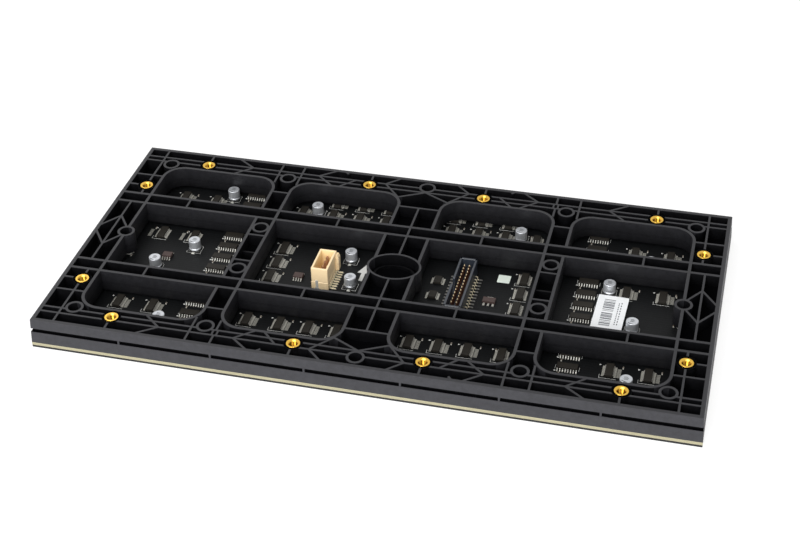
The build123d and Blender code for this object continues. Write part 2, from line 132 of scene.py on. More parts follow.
class Build:
    """Gathers closed pieces of mesh before they become one object."""

    def __init__(self):
        self.points = []
        self.faces = []

    def loft(self, rings, caps=(True, True)):
        """Joins rings of equal count, lowest first, each ring going anticlockwise from above."""
        start = len(self.points)
        count = len(rings[0])
        for ring in rings:
            self.points.extend(ring)
        for level in range(len(rings) - 1):
            low = start + level * count
            for i in range(count):
                j = (i + 1) % count
                self.faces.append((low + i, low + j, low + count + j, low + count + i))
        if caps[0]:
            self.faces.append(tuple(start + i for i in reversed(range(count))))
        if caps[1]:
            top = start + (len(rings) - 1) * count
            self.faces.append(tuple(top + i for i in range(count)))

    def box(self, low, high):
        """A box between two corners."""
        self.loft([rectangle(low[0], high[0], low[1], high[1], z) for z in (low[2], high[2])])

    def drafted(self, x0, x1, y0, y1, levels, caps=(True, True)):
        """A block whose sides stand inside the given ones by the first number of each level."""
        self.loft([rectangle(x0 + d, x1 - d, y0 + d, y1 - d, z) for d, z in levels], caps)

    def plate(self, outline, low, high):
        """A flat piece with the given outline between two heights."""
        self.loft([[(x, y, z) for x, y, *_ in outline] for z in (low, high)])

    def revolved(self, levels, count, caps=(True, True)):
        """A round body on the Z axis, with a radius and a height for each level."""
        self.loft([circle(0, 0, z, radius, count) for radius, z in levels], caps)

    def mesh(self, name):
        """The gathered mesh, in metres, with its faces pointing outwards."""
        data = bpy.data.meshes.new(name)
        data.from_pydata([[c * MM for c in p] for p in self.points], [], self.faces)
        work = bmesh.new()
        work.from_mesh(data)
        bmesh.ops.remove_doubles(work, verts=work.verts, dist=1e-7)
        bmesh.ops.recalc_face_normals(work, faces=work.faces)
        work.to_mesh(data)
        work.free()
        return data


def rectangle(x0, x1, y0, y1, z):
    """Corners of a level rectangle, anticlockwise from above."""
    return [(x0, y0, z), (x1, y0, z), (x1, y1, z), (x0, y1, z)]


def rounded_rectangle(x0, x1, y0, y1, z, radius):
    """A level rectangle with round corners, anticlockwise from above."""
    steps = 3
    ring = []
    centres = [(x1 - radius, y1 - radius, 0), (x0 + radius, y1 - radius, 90),
               (x0 + radius, y0 + radius, 180), (x1 - radius, y0 + radius, 270)]
    for cx, cy, first in centres:
        for i in range(steps + 1):
            angle = math.radians(first + 90 * i / steps)
            ring.append((cx + radius * math.cos(angle), cy + radius * math.sin(angle), z))
    return ring


def circle(x, y, z, radius, count):
    """A level circle, anticlockwise from above."""
    return [(x + radius * math.cos(2 * math.pi * i / count),
             y + radius * math.sin(2 * math.pi * i / count), z) for i in range(count)]


def turned(x, y, angle):
    """A point in plan after a turn about the origin."""
    return (x * math.cos(angle) - y * math.sin(angle), x * math.sin(angle) + y * math.cos(angle))


def ribbon(build, path, half_width, thickness):
    """A bent metal strip, wide along Y, that follows the (x, z) points of its upper side."""
    lower = []
    for i, (x, z) in enumerate(path):
        ax, az = path[max(i - 1, 0)]
        bx, bz = path[min(i + 1, len(path) - 1)]
        length = math.hypot(bx - ax, bz - az)
        nx, nz = (bz - az) / length, -(bx - ax) / length
        lower.append((x + nx * thickness, z + nz * thickness))
    build.loft([[(x, -half_width, z), (x, half_width, z), (u, half_width, w), (u, -half_width, w)]
                for (x, z), (u, w) in zip(path, lower)])


# Reading the frame

def solids(node):
    """Low and high corner in millimetres of each separate solid of a CAD node."""
    work = bmesh.new()
    work.from_mesh(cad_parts[node].data)
    bmesh.ops.remove_doubles(work, verts=work.verts, dist=1e-6)
    seen = set()
    boxes = []
    for first in work.verts:
        if first in seen:
            continue
        seen.add(first)
        group = [first]
        for vertex in group:
            for edge in vertex.link_edges:
                other = edge.other_vert(vertex)
                if other not in seen:
                    seen.add(other)
                    group.append(other)
        low = [min(v.co[i] for v in group) / MM for i in range(3)]
        high = [max(v.co[i] for v in group) / MM for i in range(3)]
        boxes.append((low, high))
    work.free()
    return sorted(boxes)


def outer_box(node):
    """Low and high corner in millimetres of a whole CAD node."""
    return [[c / MM for c in corner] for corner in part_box(node)]


def size(box):
    """Length, width and height of a box."""
    return [high - low for low, high in zip(*box)]


def middle(box):
    """Middle of a box in plan, at its lower face."""
    low, high = box
    return ((low[0] + high[0]) / 2, (low[1] + high[1]) / 2, low[2])


def middles(node, height=None):
    """Middle of each solid of a CAD node, at its lower face or at a given height."""
    return [(x, y, z if height is None else height) for x, y, z in map(middle, solids(node))]


# Placing pieces

# Every material by the name of its use, filled before the operators run
finish = {}


def place(name, data, use, nodes=()):
    """Makes a piece that rides on the module and stands for the named CAD nodes."""
    piece = bpy.data.objects.new(name, data)
    bpy.context.scene.collection.objects.link(piece)
    if use:
        data.materials.clear()
        data.materials.append(finish[use])
    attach(piece, "root")
    if nodes:
        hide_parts(*nodes)


def rows(name, places, template, use, nodes=(), count=1, pitch=0.0, turn=0.0):
    """A piece made of rows of one template, set by the tree of rows on points at the places."""
    points = bpy.data.meshes.new(name + "_places")
    points.from_pydata([[c * MM for c in p] for p in places], [], [])
    carrier = bpy.data.objects.new(name + "_places", points)
    piece = bpy.data.objects.new(name + "_template", template.mesh(name + "_template"))
    for item in (carrier, piece):
        bpy.context.scene.collection.objects.link(item)
    tree = bpy.data.node_groups.get("rows_on_places") or rows_tree()
    modifier = carrier.modifiers.new("Repeat", "NODES")
    modifier.node_group = tree
    identifiers = {item.name: item.identifier for item in tree.interface.items_tree
                   if item.item_type == "SOCKET" and item.in_out == "INPUT"}
    inputs = {"Piece": piece, "Count": count, "Pitch": pitch, "Turn": turn, "Material": finish[use]}
    for key, value in inputs.items():
        modifier[identifiers[key]] = value
    graph = bpy.context.evaluated_depsgraph_get()
    mesh = bpy.data.meshes.new_from_object(carrier.evaluated_get(graph))
    mesh.name = name
    bpy.data.objects.remove(carrier)
    bpy.data.objects.remove(piece)
    place(name, mesh, None, nodes)


def give(node, key, value):
    """Links an output to one of a node's inputs, or sets that input to a plain value."""
    if isinstance(value, bpy.types.NodeSocket):
        node.id_data.links.new(value, node.inputs[key])
    else:
        node.inputs[key].default_value = value


def add(tree, kind, inputs=None, out=None, **settings):
    """Adds a node with its settings and inputs, and returns its first or its named output."""
    node = tree.nodes.new(kind)
    for key, value in settings.items():
        setattr(node, key, value)
    for key, value in (inputs or {}).items():
        give(node, key, value)
    return node.outputs[out] if out else next((o for o in node.outputs if o.enabled), None)


def rows_tree():
    """A tree that sets rows of one piece, centred on each given place."""
    tree = bpy.data.node_groups.new("rows_on_places", "GeometryNodeTree")
    for name, kind in (("Geometry", "Geometry"), ("Piece", "Object"), ("Count", "Int"),
                       ("Pitch", "Float"), ("Turn", "Float"), ("Material", "Material")):
        tree.interface.new_socket(name, in_out="INPUT", socket_type="NodeSocket" + kind)
    tree.interface.new_socket("Geometry", in_out="OUTPUT", socket_type="NodeSocketGeometry")
    given = add(tree, "NodeGroupInput").node.outputs
    gaps = add(tree, MATH, {0: given["Count"], 1: 1.0}, operation="SUBTRACT")
    span = add(tree, MATH, {0: gaps, 1: given["Pitch"]}, operation="MULTIPLY")
    first = add(tree, MATH, {0: span, 1: -0.5}, operation="MULTIPLY")
    line = add(tree, "GeometryNodeMeshLine",
               {"Count": given["Count"], "Start Location": add(tree, JOIN, {"Y": first}),
                "Offset": add(tree, JOIN, {"Y": given["Pitch"]})}, mode="OFFSET")
    piece = add(tree, "GeometryNodeObjectInfo", {"Object": given["Piece"]}, out="Geometry")
    row = add(tree, SETTER, {"Points": line, "Instance": piece})
    turn = add(tree, "FunctionNodeEulerToRotation", {"Euler": add(tree, JOIN, {"Z": given["Turn"]})})
    every = add(tree, SETTER, {"Points": given["Geometry"], "Instance": row, "Rotation": turn})
    real = add(tree, "GeometryNodeRealizeInstances", {"Geometry": every})
    made = add(tree, "GeometryNodeSetMaterial", {"Geometry": real, "Material": given["Material"]})
    add(tree, "NodeGroupOutput", {"Geometry": made})
    return tree


# Finishes

def new_material(name):
    """An empty material with its shader, ready for nodes."""
    material = bpy.data.materials.new(name)
    material.use_nodes = True
    return material, material.node_tree, material.node_tree.nodes["Principled BSDF"]


def set_values(shader, **values):
    """Sets or links sockets of the shader by name, with spaces written as underscores."""
    for key, value in values.items():
        give(shader, key.replace("_", " "), value)


def shade(colour, factor=1.0):
    """A colour made lighter or darker, with full alpha."""
    return (*(min(1.0, c * factor) for c in colour), 1.0)


def moulded_abs(colours):
    """Black ABS from a spark-eroded mould: a fine, even grain that scatters light softly."""
    material, tree, shader = new_material("moulded_black_abs")
    coords = add(tree, COORDS, out="Object")
    half_length, half_width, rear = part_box("rear_frame")[1]
    # grain of about 0.12 mm in the real moulding, drawn at 0.45 mm so that it shows
    grain = add(tree, NOISE, {"Vector": coords, "Scale": 2200.0, "Detail": 3.0, "Roughness": 0.6})
    # patches of about 2.4 mm where the moulding's black and its gloss wander
    cloud = add(tree, NOISE, {"Vector": coords, "Scale": 420.0, "Detail": 6.0, "Roughness": 0.75})
    # the first tone is the moulding's own black, and the second, from the paler frame colour, is a painted
    # highlight
    deep, highlight_tone = [
        add(tree, MIX, {"Factor": cloud, "A": shade(colour, dark), "B": shade(colour, pale)},
            data_type="RGBA")
        for colour, dark, pale in ((colours.frame_black, 0.2, 2.4), (colours.frame_highlight, 0.35, 1.7))]
    # the four quarters of the frame are alike, so one quarter's places serve for all
    mirrored = add(tree, VECTOR_MATH, {0: coords}, operation="ABSOLUTE")
    axes = add(tree, SPLIT, {"Vector": mirrored}).node.outputs
    # painted highlight: rib tops take a little of the paler tone and outer faces all of it, but not the
    # groove 1.4 mm behind them
    top = add(tree, SPAN, {"Value": axes["Z"], "From Min": rear - 0.35 * MM,
                           "From Max": rear - 0.1 * MM})
    highlit = add(tree, MATH, {0: top, 1: 0.1}, operation="MULTIPLY")
    for axis, reach in (("X", half_length), ("Y", half_width)):
        face = add(tree, SPAN, {"Value": axes[axis], "From Min": reach - 1.25 * MM,
                                "From Max": reach - 1.0 * MM})
        highlit = add(tree, MATH, {0: highlit, 1: face}, operation="MAXIMUM")
    # painted shade: pocket floors and the groove's lip get a darker black and no gloss
    clear = 1.0
    for level in (FRAME_FLOOR, GROOVE):
        flat = add(tree, MATH, {0: axes["Z"], 1: level * MM, 2: 0.04 * MM}, operation="COMPARE")
        clear = add(tree, MATH, {0: clear, 1: flat}, operation="SUBTRACT")
    # painted shade: the frame within about 4.5 mm of each insert's mouth gets a darker black and no gloss
    shade_radius, lit_radius = 4.5 * MM, 4.9 * MM
    for x, y in sorted({(round(abs(x), 4), round(abs(y), 4)) for x, y, _ in middles("threaded_inserts")}):
        away = add(tree, VECTOR_MATH, {0: mirrored, 1: (x * MM, y * MM, rear)}, operation="DISTANCE")
        beyond = add(tree, SPAN, {"Value": away, "From Min": shade_radius, "From Max": lit_radius})
        clear = add(tree, MATH, {0: clear, 1: beyond}, operation="MULTIPLY")
    # painted light and shade: the walls of the windows and the rib tops are painted paler and made
    # glossier than the pockets between the ribs
    inside = []
    for axis, spans in (("X", WINDOW_COLUMNS), ("Y", WINDOW_ROWS)):
        near, far = [add(tree, MATH, {0: axes[axis], 1: (first + last) / 2 * MM,
                                      2: (last - first) / 2 * MM}, operation="COMPARE")
                     for first, last in spans]
        inside.append(add(tree, MATH, {0: near, 1: far}, operation="ADD"))
    window = add(tree, MATH, {0: inside[0], 1: inside[1]}, operation="MULTIPLY")
    lit_places = add(tree, MATH, {0: window, 1: top}, operation="MAXIMUM")
    sheen = add(tree, SPAN, {"Value": lit_places, "To Min": 0.35, "To Max": 1.15})
    # painted shade: walls are painted darker towards their foot and paler towards the top, and grow
    # glossier upwards
    rise, polish = [
        add(tree, MATH, {0: add(tree, SPAN, {"Value": axes["Z"], "From Min": BOARD_TOP * MM,
                                             "From Max": rear, "To Min": foot, "To Max": head}),
                         1: sheen}, operation="MULTIPLY")
        for foot, head in ((0.6, 2.2), (0.1, 0.3))]
    wall = add(tree, VECTOR_MATH, {0: deep, "Scale": rise}, operation="SCALE")
    # the painted highlight's paler tone is mixed in on rib tops and outer faces
    lit_tone = add(tree, MIX, {"Factor": highlit, "A": wall, "B": highlight_tone}, data_type="RGBA")
    # where clear falls to zero, the painted shade's darker black replaces the tone
    tone = add(tree, MIX, {"Factor": clear, "A": shade(colours.frame_black, 0.6), "B": lit_tone},
               data_type="RGBA")
    gloss = add(tree, MIX, {"Factor": highlit, "A": polish, "B": 0.36})
    seen = add(tree, MATH, {0: gloss, 1: clear}, operation="MULTIPLY")
    rough = add(tree, SPAN, {"Value": cloud, "To Min": 0.36, "To Max": 0.58})
    bump = add(tree, BUMP, {"Height": grain, "Strength": 0.25, "Distance": 0.04 * MM})
    set_values(shader, Base_Color=tone, Roughness=rough, Specular_IOR_Level=seen, Normal=bump, IOR=1.53)
    return material


def glass_fibre_board(colours):
    """Glass-fibre board: black solder mask over copper on its faces, cream core on its cut edge."""
    material, tree, shader = new_material("glass_fibre_board")
    coords = add(tree, COORDS, out="Object")
    # tracks about 0.3 mm wide under the mask, seen as slightly lighter lines
    bare, thin, thick = [(level, level, level, 1.0) for level in (0.0, 0.25, 1.0)]
    tracks = add(tree, "ShaderNodeTexBrick",
                 {"Vector": coords, "Color1": bare, "Color2": thin, "Mortar": thick, "Scale": 160.0,
                  "Mortar Size": 0.035, "Brick Width": 0.9, "Row Height": 0.28},
                 offset=0.37, offset_frequency=2, squash=1.6, squash_frequency=3)
    # layers of woven glass, about 0.2 mm each, across the cut edge
    layers = add(tree, WAVE, {"Vector": coords, "Scale": 800.0, "Distortion": 2.0, "Detail": 2.0,
                              "Detail Scale": 3.0}, out="Fac", bands_direction="Z")
    mask, core = [
        add(tree, MIX, {"Factor": pattern, "A": shade(colour, dark), "B": shade(colour, pale)},
            data_type="RGBA")
        for pattern, colour, dark, pale in ((tracks, colours.board_mask, 1.0, 1.6),
                                            (layers, colours.board_core, 0.72, 1.0))]
    # upright faces are the cut edge
    normal = add(tree, "ShaderNodeNewGeometry", out="True Normal")
    level = add(tree, MATH, {0: add(tree, SPLIT, {"Vector": normal}, out="Z")}, operation="ABSOLUTE")
    side = add(tree, MATH, {0: level, 1: 0.5}, operation="LESS_THAN")
    tone = add(tree, MIX, {"Factor": side, "A": mask, "B": core}, data_type="RGBA")
    rough = add(tree, SPAN, {"Value": side, "To Min": 0.5, "To Max": 0.75})
    bump = add(tree, BUMP, {"Height": tracks, "Strength": 0.4, "Distance": 0.03 * MM})
    set_values(shader, Base_Color=tone, Roughness=rough, Normal=bump, IOR=1.5, Specular_IOR_Level=0.15)
    return material


def turned_brass(colours):
    """Free-cutting brass, turned on a lathe: bright yellow with fine rings."""
    material, tree, shader = new_material("turned_brass")
    coords = add(tree, COORDS, out="Object")
    # stains of about 1 mm
    stain = add(tree, NOISE, {"Vector": coords, "Scale": 900.0, "Detail": 4.0})
    # lathe marks about 0.1 mm apart, drawn at 0.5 mm so that they show
    marks = add(tree, WAVE, {"Vector": coords, "Scale": 640.0, "Distortion": 1.0}, out="Fac",
                bands_direction="Z")
    # painted shade and reflection: the bore is painted dark amber with darker streaks 1.4 mm apart that
    # stand for reflections, and the mouth keeps the plain brass
    streaks = add(tree, WAVE, {"Vector": coords, "Scale": 230.0, "Distortion": 1.5}, out="Fac",
                  bands_direction="X")
    plain_brass, bore = [
        add(tree, MIX, {"Factor": pattern, "A": dark, "B": pale}, data_type="RGBA")
        for pattern, dark, pale in ((stain, shade(colours.brass, 0.78), shade(colours.brass)),
                                    (streaks, shade(linear("#4A2A08")), shade(linear("#B98A2E"))))]
    height = add(tree, SPLIT, {"Vector": coords}, out="Z")
    mouth = add(tree, SPAN, {"Value": height, "From Min": (REAR - 1.2) * MM,
                             "From Max": (REAR - 0.3) * MM})
    # the bore's painted shade gives way to plain brass towards the mouth
    tone = add(tree, MIX, {"Factor": mouth, "A": bore, "B": plain_brass}, data_type="RGBA")
    bump = add(tree, BUMP, {"Height": marks, "Strength": 0.15, "Distance": 0.02 * MM})
    set_values(shader, Base_Color=tone, Normal=bump, Metallic=1.0, Roughness=0.24)
    return material


def natural_nylon(colours):
    """Undyed nylon: cream outside, and amber inside the walls, where light comes through them."""
    material, tree, shader = new_material("natural_nylon")
    coords = add(tree, COORDS, out="Object")
    axes = add(tree, SPLIT, {"Vector": coords}).node.outputs
    low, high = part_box("power_header_pins")
    # the room inside the walls, by its half sizes from the middle of the pins
    edge = 0.15 * MM
    inside = 1.0
    for axis, i, half in (("X", 0, 3.3 * MM), ("Y", 1, 7.55 * MM)):
        off = add(tree, MATH, {0: axes[axis], 1: (low[i] + high[i]) / 2}, operation="SUBTRACT")
        away = add(tree, MATH, {0: off}, operation="ABSOLUTE")
        near = add(tree, SPAN, {"Value": away, "From Min": half + edge, "From Max": half})
        inside = add(tree, MATH, {0: inside, 1: near}, operation="MULTIPLY")
    # flow marks of about 1.4 mm
    cloud = add(tree, NOISE, {"Vector": coords, "Scale": 700.0, "Detail": 4.0})
    skin = add(tree, MIX, {"Factor": cloud, "A": shade(colours.nylon, 0.93), "B": shade(colours.nylon)},
               data_type="RGBA")
    tone = add(tree, MIX, {"Factor": inside, "A": skin, "B": shade(linear("#F3D7A2"))},
               data_type="RGBA")
    bump = add(tree, BUMP, {"Height": cloud, "Strength": 0.3, "Distance": 0.03 * MM})
    set_values(shader, Base_Color=tone, Normal=bump, Roughness=0.42, IOR=1.53)
    return material


def flashed_pins():
    """Bronze posts with a flash of gold on their tips only: bright points over stems painted dark brown as
    painted shade and reflection inside the shroud.
    """
    material, tree, shader = new_material("gold_flash")
    coords = add(tree, COORDS, out="Object")
    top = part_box("data_header_pins")[1][2]
    tip = add(tree, SPAN, {"Value": add(tree, SPLIT, {"Vector": coords}, out="Z"),
                           "From Min": top - 0.6 * MM, "From Max": top - 0.35 * MM})
    # stains of about 0.7 mm, the width of a post
    stain = add(tree, NOISE, {"Vector": coords, "Scale": 1500.0, "Detail": 3.0})
    # stems painted dark brown: painted shade and reflection inside the shroud
    stem = add(tree, MIX, {"Factor": stain, "A": shade(linear("#38231A")),
                           "B": shade(linear("#6A4028"))}, data_type="RGBA")
    tone = add(tree, MIX, {"Factor": tip, "A": stem, "B": shade(linear("#E6D0A8"))}, data_type="RGBA")
    set_values(shader, Base_Color=tone, Metallic=0.6, Roughness=0.32)
    return material


def grained(name, low, high, grain, roughness, metallic=0.0, relief=0.02, ior=1.5, specular=0.5):
    """A finish whose tone wanders between two colours over a grain given in millimetres."""
    material, tree, shader = new_material(name)
    coords = add(tree, COORDS, out="Object")
    low, high = [linear(colour) if isinstance(colour, str) else colour for colour in (low, high)]
    noise = add(tree, NOISE, {"Vector": coords, "Scale": 1.0 / (grain * MM), "Detail": 4.0,
                              "Roughness": 0.6})
    tone = add(tree, MIX, {"Factor": noise, "A": shade(low), "B": shade(high)}, data_type="RGBA")
    spread = 0.07
    rough = add(tree, SPAN, {"Value": noise, "To Min": roughness - spread, "To Max": roughness + spread})
    bump = add(tree, BUMP, {"Height": noise, "Strength": 0.4, "Distance": relief * MM})
    set_values(shader, Base_Color=tone, Roughness=rough, Normal=bump, Metallic=metallic)
    if not metallic:
        set_values(shader, IOR=ior, Specular_IOR_Level=specular)
    return material


def finishes():
    """Every finish of the module, by the name of its use."""
    colours = bpy.context.scene.module_colours
    dark_resin, pale_resin = [shade(colours.resin, factor)[:3] for factor in (0.7, 1.3)]
    return {
        "frame": moulded_abs(colours),
        "board": glass_fibre_board(colours),
        "brass": turned_brass(colours),
        "nylon": natural_nylon(colours),
        "gold": flashed_pins(),
        # matt black polycarbonate, so that the front does not shine
        "mask": grained("matt_polycarbonate", "#101010", "#1A1A1A", 0.4, 0.75),
        # smoked epoxy over the lamp, a little glossy
        "lamp": grained("smoked_epoxy", "#2A2A28", "#343431", 0.5, 0.35),
        # light-emitting crystals under clear resin, seen as pale dots
        "crystal": grained("lamp_crystals", "#B9B08A", "#D8D2B8", 0.3, 0.3),
        # drawn aluminium with a satin sleeve of lacquer
        "can": grained("drawn_aluminium", "#B2B5B9", "#CFD2D6", 1.2, 0.38, metallic=0.6, relief=0.008),
        # dark print on the can's top, flat beside the metal
        "can_ink": grained("can_print", "#36383C", "#4C4F54", 0.4, 0.5),
        # liquid-crystal polymer base, dense and matt
        "base": grained("base_polymer", "#121212", "#1E1E1E", 0.3, 0.5),
        # moulded epoxy with fine filler, which gives a dusty look
        "resin": grained("moulded_epoxy", dark_resin, pale_resin, 0.25, 0.65, specular=0.3),
        # brown epoxy of the supply chips, warmer than the others
        "brown_resin": grained("brown_epoxy", "#2E2320", "#4A3834", 0.25, 0.6),
        # tin plate with dull solder on it
        "tin": grained("tin_plate", "#C4C3BC", "#ECEBE4", 0.35, 0.36, metallic=0.4, relief=0.03),
        # matt tin on fine leads, greyed by flux
        "matt_tin": grained("matt_tin", "#8E8C85", "#CFCDC5", 0.35, 0.45, metallic=0.3),
        # solder that has set dull round a foot
        "solder": grained("dull_solder", "#4E4D4A", "#8C8A85", 0.4, 0.4, metallic=0.5),
        # dull copper pads under tin
        "pad": grained("tinned_pad", "#8F8D84", "#D0CEC4", 0.4, 0.42, metallic=0.35),
        # drawn phosphor bronze posts deep in the housing, painted reddish as a painted reflection of the
        # amber nylon round them
        "phosphor": grained("bronze_painted_amber", "#8A604A", "#D0A888", 0.4, 0.34, metallic=0.6),
        # phosphor bronze under a thin wash of tin, warmer than plain tin plate
        "bronze": grained("tinned_bronze", "#E8DAB6", "#FFF6DC", 0.35, 0.34, metallic=0.2),
        # black thermoplastic, tinted cool blue-grey all over as a painted sheen
        "shroud": grained("black_thermoplastic", "#1A1E26", "#2A3039", 0.4, 0.36, ior=1.6),
        # screen-printed white ink, dull and a little uneven
        "ink": grained("screen_ink", shade(colours.ink, 0.85)[:3], colours.ink, 0.5, 0.6),
        # coated label paper, smooth and bright
        "paper": grained("label_paper", "#E4E6E8", "#F4F5F6", 1.5, 0.55),
        # varnished paper, slightly green
        "varnished": grained("varnished_paper", "#D3DDD3", "#E6EEE5", 0.8, 0.45),
        # grey toner of the label's bars
        "print": grained("label_ink", "#55585D", "#6A6D72", 0.4, 0.6),
        # ceramic body of a small capacitor, a dull tan
        "ceramic": grained("brown_ceramic", "#5A4632", "#7A6148", 0.3, 0.5),
        # black oxide on a steel screw, with a dark shine
        "oxide": grained("black_oxide", "#1B1B1C", "#2C2C2E", 0.3, 0.42, metallic=0.7),
    }


# Templates, in millimetres, each standing on Z 0 unless its text says otherwise

def chip_template(width, length, height):
    """Chip body with its long side along Y: drafted sides, a parting line and a pin-one dimple."""
    x, y = width / 2, length / 2
    draft, step, bevel = 0.12, 0.02, 0.05
    line_low, line_high = height * 0.42, height * 0.5
    inset, radius, sides, rise = 0.75, 0.3, 12, 0.012
    build = Build()
    build.drafted(-x, x, -y, y, (
        (draft, 0.0), (step, line_low), (0.0, line_low), (0.0, line_high), (step, line_high),
        (draft, height - bevel), (draft + bevel, height)))
    build.loft([circle(-x + inset, y - inset, height + z, radius, sides) for z in (0.0, rise)])
    return build


def lead_template(reach_in, reach_out, half_width, shoulder):
    """Two gull-wing leads, one each side of a chip, that end in a flat foot."""
    thickness = 0.15
    foot, bend, lift = 0.52, 0.62, 0.08
    path = [(reach_in, shoulder), (reach_in + 0.25, shoulder), (reach_in + 0.33, shoulder - 0.06),
            (reach_out - bend, thickness + lift), (reach_out - foot, thickness), (reach_out, thickness)]
    build = Build()
    ribbon(build, path, half_width, thickness)
    ribbon(build, [(-x, z) for x, z in reversed(path)], half_width, thickness)
    return build


def pad_template(reach, half_width):
    """The flat pads under two leads, each with a heel of solder that slopes up to the lead's end."""
    margin, pad_height = 0.06, 0.035
    inner, outer = 0.75, 0.35
    heel, heel_reach, heel_top, ridge = 0.02, 0.3, 0.13, 0.06
    build = Build()
    for side in (-1, 1):
        x0, x1 = sorted((side * (reach - inner), side * (reach + outer)))
        build.box((x0, -half_width - margin, 0.0), (x1, half_width + margin, pad_height))
        x0, x1 = sorted((side * (reach - heel), side * (reach + heel_reach)))
        top = (x0, x0 + ridge) if side > 0 else (x1 - ridge, x1)
        build.loft([rectangle(x0, x1, -half_width, half_width, 0.03),
                    rectangle(*top, -half_width, half_width, heel_top)])
    return build


def can_template(radius, height):
    """Aluminium can: crimped waist near its base and a rolled upper edge."""
    waist, body = radius - 0.34, radius - 0.1
    build = Build()
    build.revolved((
        (radius - 0.05, 0.0), (radius, 0.1), (radius - 0.02, 0.25), (waist, 0.75), (waist, 0.95),
        (body, 1.2), (body, height - 0.5), (radius - 0.16, height - 0.2), (radius - 0.3, height - 0.05),
        (radius - 0.45, height), (radius - 0.6, height - 0.03)), 36)
    return build


def can_print_template(radius, height):
    """A narrow dark segment on a can's top and short plain bars beside it."""
    limit = radius - 0.5
    half = math.acos(0.78)
    middle_angle = math.radians(250)
    steps, sunk, bar = 12, 0.06, 0.32
    angles = [middle_angle - half + 2 * half * i / steps for i in range(steps + 1)]
    build = Build()
    build.plate([(limit * math.cos(a), limit * math.sin(a)) for a in angles], height - sunk, height)
    for y, x0, x1 in ((-0.8, -1.1, 0.9), (0.0, -0.9, 1.2), (0.8, -1.0, 0.7)):
        build.box((x0, y, height - sunk), (x1, y + bar, height))
    return build


def base_template(side, height):
    """Square moulded base with two cut corners and a bevelled upper edge."""
    h = side / 2
    cut, bevel = 1.3, 0.12
    outline = [(-h, -h), (h, -h), (h, h - cut), (h - cut, h), (-h + cut, h), (-h, h - cut)]
    build = Build()
    build.loft([[(x * scale, y * scale, z) for x, y in outline] for scale, z in
                ((1.0, 0.0), (1.0, height - bevel), ((h - bevel) / h, height))])
    return build


def foot_template(inner, outer):
    """The two flat tinned feet of a capacitor, with solder at their tips."""
    build = Build()
    for side in (-1, 1):
        for half_width, y0, y1, bottom, top in ((0.38, inner, outer, 0.03, 0.22),
                                                (0.85, inner - 0.3, outer + 0.55, 0.0, 0.04)):
            y0, y1 = sorted((side * y0, side * y1))
            build.box((-half_width, y0, bottom), (half_width, y1, top))
    return build


def insert_template(outer, bore, length, pitch):
    """Threaded insert with its mouth at Z 0: chamfered ends and a cut thread down its bore."""
    count = 40
    bevel, mouth_bevel = 0.25, 0.12
    mouth, throat, lead_in, root = bore + 0.35, bore + 0.05, 0.3, bore + 0.3
    build = Build()
    build.revolved(((outer - bevel, -length), (outer, -length + bevel), (outer, -mouth_bevel),
                    (outer - mouth_bevel, 0.0)), count, caps=(False, False))
    levels = [(mouth, 0.0), (throat, -lead_in)]
    for i in range(int((length - 2 * lead_in) / pitch)):
        z = -lead_in - i * pitch
        levels += [(root, z - 0.25 * pitch), (bore, z - 0.75 * pitch)]
    levels.append((bore, -length))
    build.revolved(levels[::-1], count, caps=(False, False))
    # flat rings join the outside to the bore at both ends
    start = len(build.points)
    for radius, z in ((outer - mouth_bevel, 0.0), (mouth, 0.0), (outer - bevel, -length), (bore, -length)):
        build.points.extend(circle(0, 0, z, radius, count))
    for i in range(count):
        j = (i + 1) % count
        build.faces.append((start + i, start + j, start + count + j, start + count + i))
        build.faces.append((start + 2 * count + i, start + 3 * count + i, start + 3 * count + j,
                            start + 2 * count + j))
    return build


def screw_template(radius, height):
    """Pan head with a cross on it."""
    arm, half = 1.2, 0.22
    build = Build()
    build.revolved(((radius, 0.0), (radius, height * 0.45), (radius * 0.9, height * 0.8),
                    (radius * 0.6, height)), 28)
    for angle in (0.0, QUARTER):
        build.plate([turned(x, y, angle) for x, y, _ in rectangle(-arm, arm, -half, half, 0.0)],
                    height - 0.02, height + 0.015)
    return build


def open_box(x, y, height, wall, floor):
    """A moulded box open at its top, with a slightly wider foot and eased edges."""
    foot, step, lip = 4.0, 0.16, 0.12
    rings = [rounded_rectangle(-x + d, x - d, -y + d, y - d, z, 0.35) for d, z in
             ((0.0, 0.0), (0.0, foot), (step, foot + step), (step, height - lip), (step + lip, height))]
    x, y = x - wall, y - wall
    rings += [rounded_rectangle(-x + d, x - d, -y + d, y - d, z, 0.3) for d, z in
              ((-lip, height), (0.0, height - lip), (0.0, floor))]
    build = Build()
    build.loft(rings)
    return build


def post_template(pin, taper, tip):
    """Square post as large as the given solid, with a pointed end."""
    side, _, top = size(pin)
    h = side / 2
    build = Build()
    build.drafted(-h, h, -h, h, ((0.0, 0.0), (0.0, top - taper), (h - h * tip, top)))
    return build


# Pieces made for more than one operator

def near_data_header(x):
    """True for the driver chips between the data header and the next wall, which have no comb."""
    return 55.0 < x < 70.0


def comb_shift(x, y):
    """How far along X the comb of track ends lies from its driver chip."""
    beside_left_edge = x < -110 and abs(y) < 25
    return -6.6 if beside_left_edge else -4.6 if near_data_header(x) else 4.6


